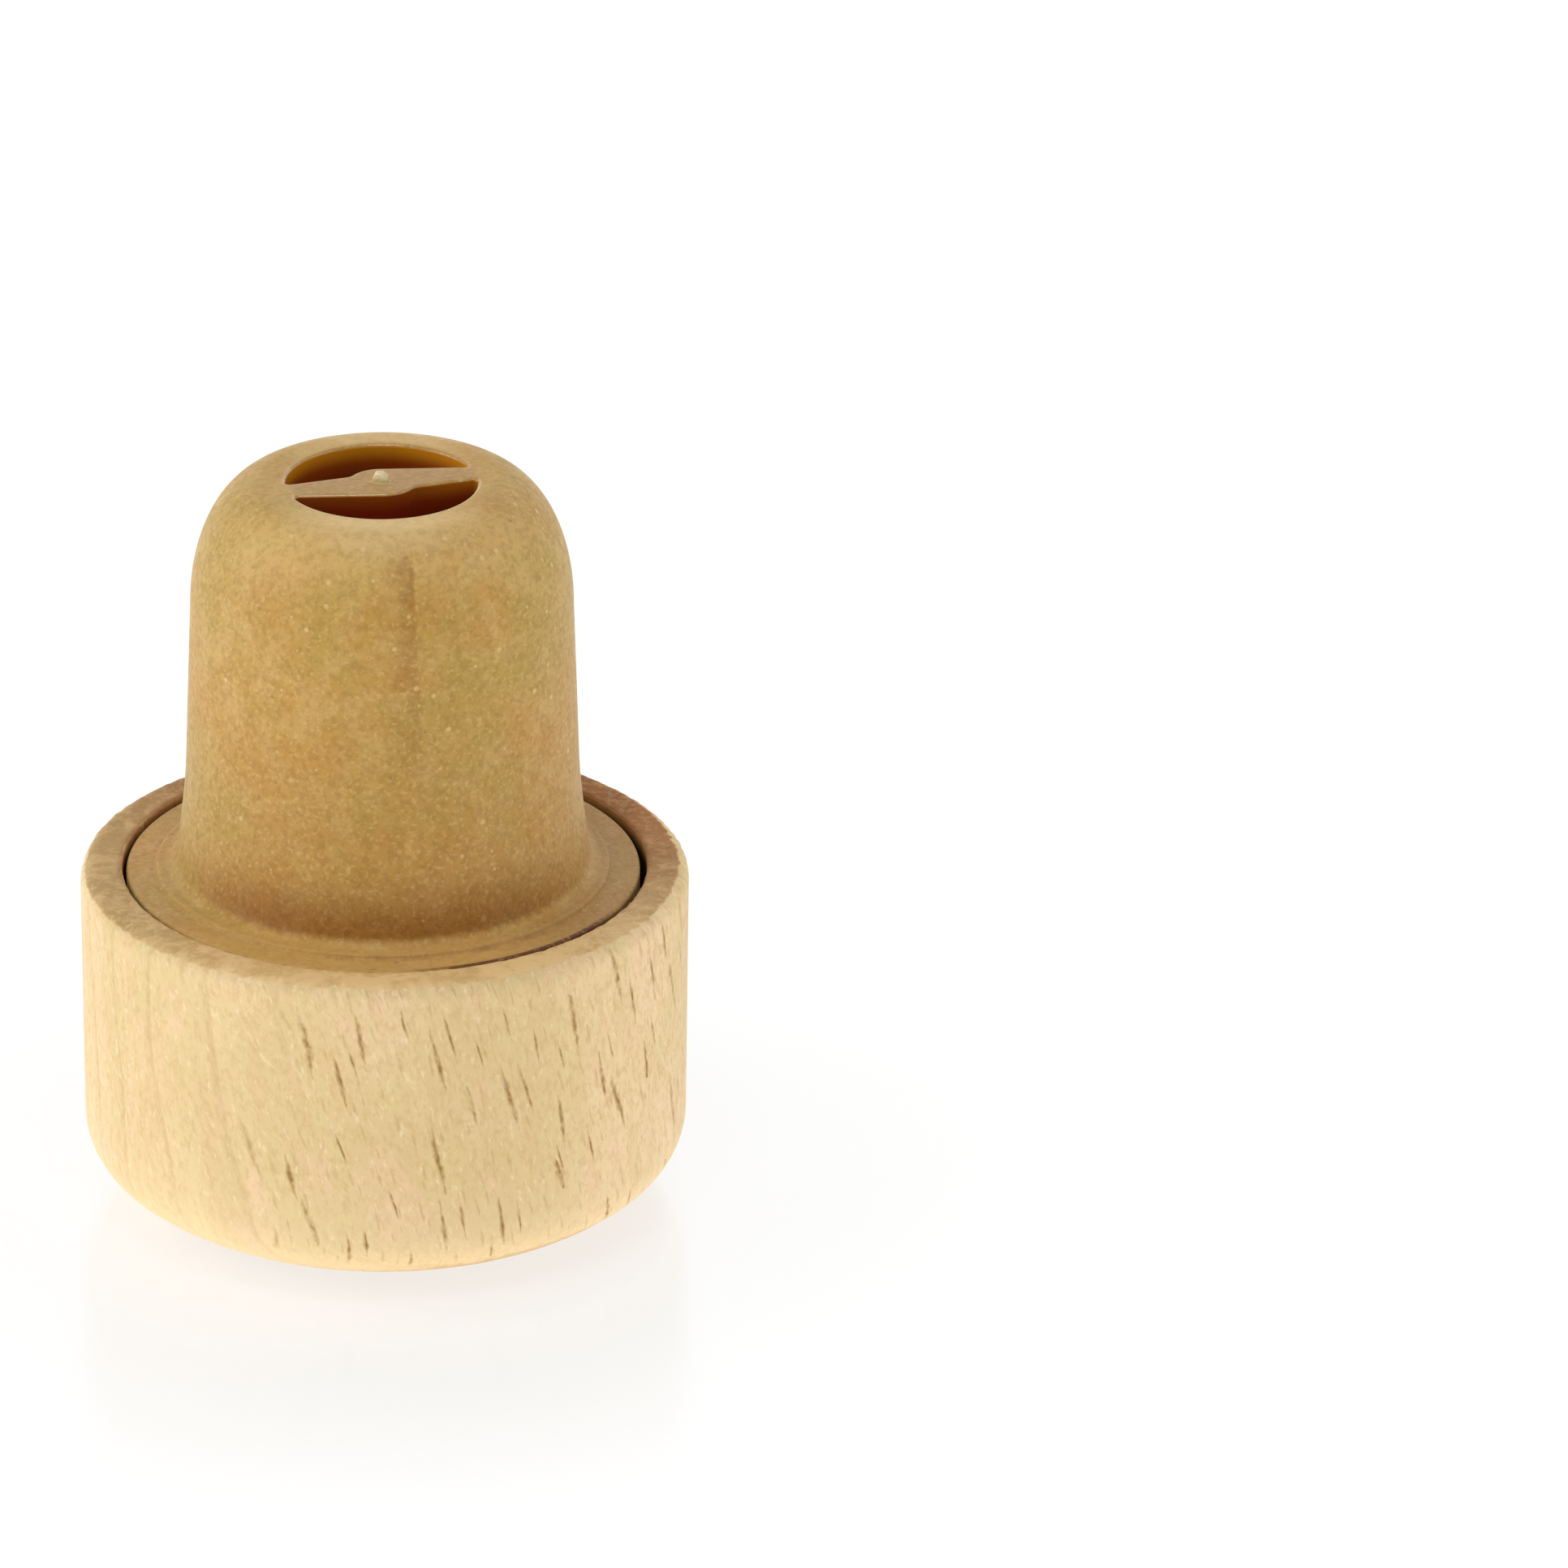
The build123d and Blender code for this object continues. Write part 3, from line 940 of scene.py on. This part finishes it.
def floor_material():
    """White floor: seen directly it is white less the object's shadow and faint reflection."""
    g = material_graph("studio_floor")
    path = g.node("LightPath").outputs
    seen = g.math("ADD", path["Is Camera Ray"], path["Is Glossy Ray"], clamp=True)
    place = g.node("TexCoord").outputs["Object"]
    grain = g.noise(place, 40.0, 1.0)

    lit = g.node("BsdfDiffuse", {"Color": g.mix(grain, grey(0.86), grey(0.88))})
    unseen = g.added(lit, g.node("Emission", {"Strength": 0.58}))
    faint = g.node("BsdfDiffuse", {"Color": g.mix(grain, grey(0.14), grey(0.145))})
    plain = g.added(faint, g.node("Emission", {"Strength": 0.92}))
    glow = g.node("Emission", {"Color": (0.66, 0.702, 0.715, 1), "Strength": 1.0})
    mirror = g.node("BsdfGlossy", {"Color": (0.17, 0.137, 0.127, 1), "Roughness": 0.2})
    polished = g.added(g.added(faint, glow), mirror)

    near = g.between(g.radius(place), *POLISHED, 1.0, 0.0)
    shown = g.node("MixShader", {0: near, 1: plain.outputs[0], 2: polished.outputs[0]})
    return g.finish(g.node("MixShader", {0: seen, 1: unseen.outputs[0], 2: shown.outputs[0]}))


def studio_floor():
    corners = [(-FLOOR_HALF, -FLOOR_HALF, 0), (FLOOR_HALF, -FLOOR_HALF, 0),
               (FLOOR_HALF, FLOOR_HALF, 0), (-FLOOR_HALF, FLOOR_HALF, 0)]
    mesh = bpy.data.meshes.new("studio_floor")
    mesh.from_pydata(corners, [], [(0, 1, 2, 3)])
    mesh.materials.append(floor_material())
    floor = bpy.data.objects.new("studio_floor", mesh)
    floor.location.z = -FLOOR_DROP
    bpy.context.collection.objects.link(floor)


def soft_box(name, azimuth, elevation, distance, width, height, power):
    """Area light that faces the object; azimuth 0 is the camera's side, positive to the right."""
    light = bpy.data.lights.new(name, "AREA")
    light.shape, light.size, light.size_y = "RECTANGLE", width, height
    light.energy = power
    lamp = bpy.data.objects.new(name, light)
    a, e = radians(azimuth), radians(elevation)
    way = Vector((sin(a) * cos(e), -cos(a) * cos(e), sin(e)))
    lamp.location = Vector((0, 0, 0.02)) + way * distance
    lamp.rotation_euler = way.to_track_quat("Z", "Y").to_euler()
    bpy.context.collection.objects.link(lamp)


def studio_world():
    """White tent round the object, dim behind the camera; the camera itself sees plain white."""
    world = bpy.data.worlds.new("studio")
    bpy.context.scene.world = world
    g = Graph(world)
    way = g.node("TexCoord").outputs["Generated"]
    toward_camera = g.vector("DOT_PRODUCT", way, (0.0, -1.0, 0.05))
    tent = g.math("ADD", g.between(toward_camera, 0.25, 0.92, 0.70, 0.10),
                  g.between(toward_camera, -0.85, -0.4, 0.5, 0.0))
    tent = g.times(tent, g.between(g.split(way)["Z"], 0.45, 0.95, 1.0, 0.55))
    seen = g.node("LightPath").outputs["Is Camera Ray"]
    strength = g.math("MAXIMUM", tent, seen)
    g.finish(g.node("Background", {"Color": (1, 1, 1, 1), "Strength": strength}), "OutputWorld")


studio_floor()
studio_world()
soft_box("soft_box_left", azimuth=-78, elevation=18, distance=0.7, width=0.5, height=0.5,
         power=1.85)
soft_box("soft_box_right", azimuth=66, elevation=20, distance=0.7, width=0.5, height=0.5,
         power=0.55)
soft_box("soft_box_front", azimuth=-4, elevation=68, distance=0.8, width=0.4, height=0.3,
         power=1.8)

# Camera: long lens, looking down on the object, which stands left of the middle of the frame
VIEW_SENSOR = 36.0              # millimetres, as the lens is
VIEW_LENS = 294.09
VIEW_DISTANCE = 0.650           # metres, as the two offsets of the aim are
VIEW_ELEVATION = radians(25.73)
VIEW_ASIDE = 0.02028
VIEW_ABOVE = 0.01999
VIEW_ROLL = radians(0.531)


def photo_camera():
    camera_data = bpy.data.cameras.new("camera")
    camera_data.sensor_width = VIEW_SENSOR
    camera_data.lens = VIEW_LENS
    camera_data.clip_start, camera_data.clip_end = 0.01, 20.0
    camera = bpy.data.objects.new("camera", camera_data)
    toward = Vector((0, -cos(VIEW_ELEVATION), sin(VIEW_ELEVATION)))
    upward = Vector((0, sin(VIEW_ELEVATION), cos(VIEW_ELEVATION)))
    camera.location = toward * VIEW_DISTANCE
    aim = Vector((VIEW_ASIDE, 0, 0)) + upward * VIEW_ABOVE
    look = (aim - camera.location).normalized()
    level = look.cross(Vector((0, 0, 1))).normalized()
    facing = Matrix((level, level.cross(look), -look)).transposed()
    camera.rotation_euler = (facing @ Matrix.Rotation(VIEW_ROLL, 3, "Z")).to_euler()
    bpy.context.collection.objects.link(camera)
    return camera


bpy.context.scene.camera = photo_camera()
bpy.context.scene.view_settings.view_transform = "Standard"
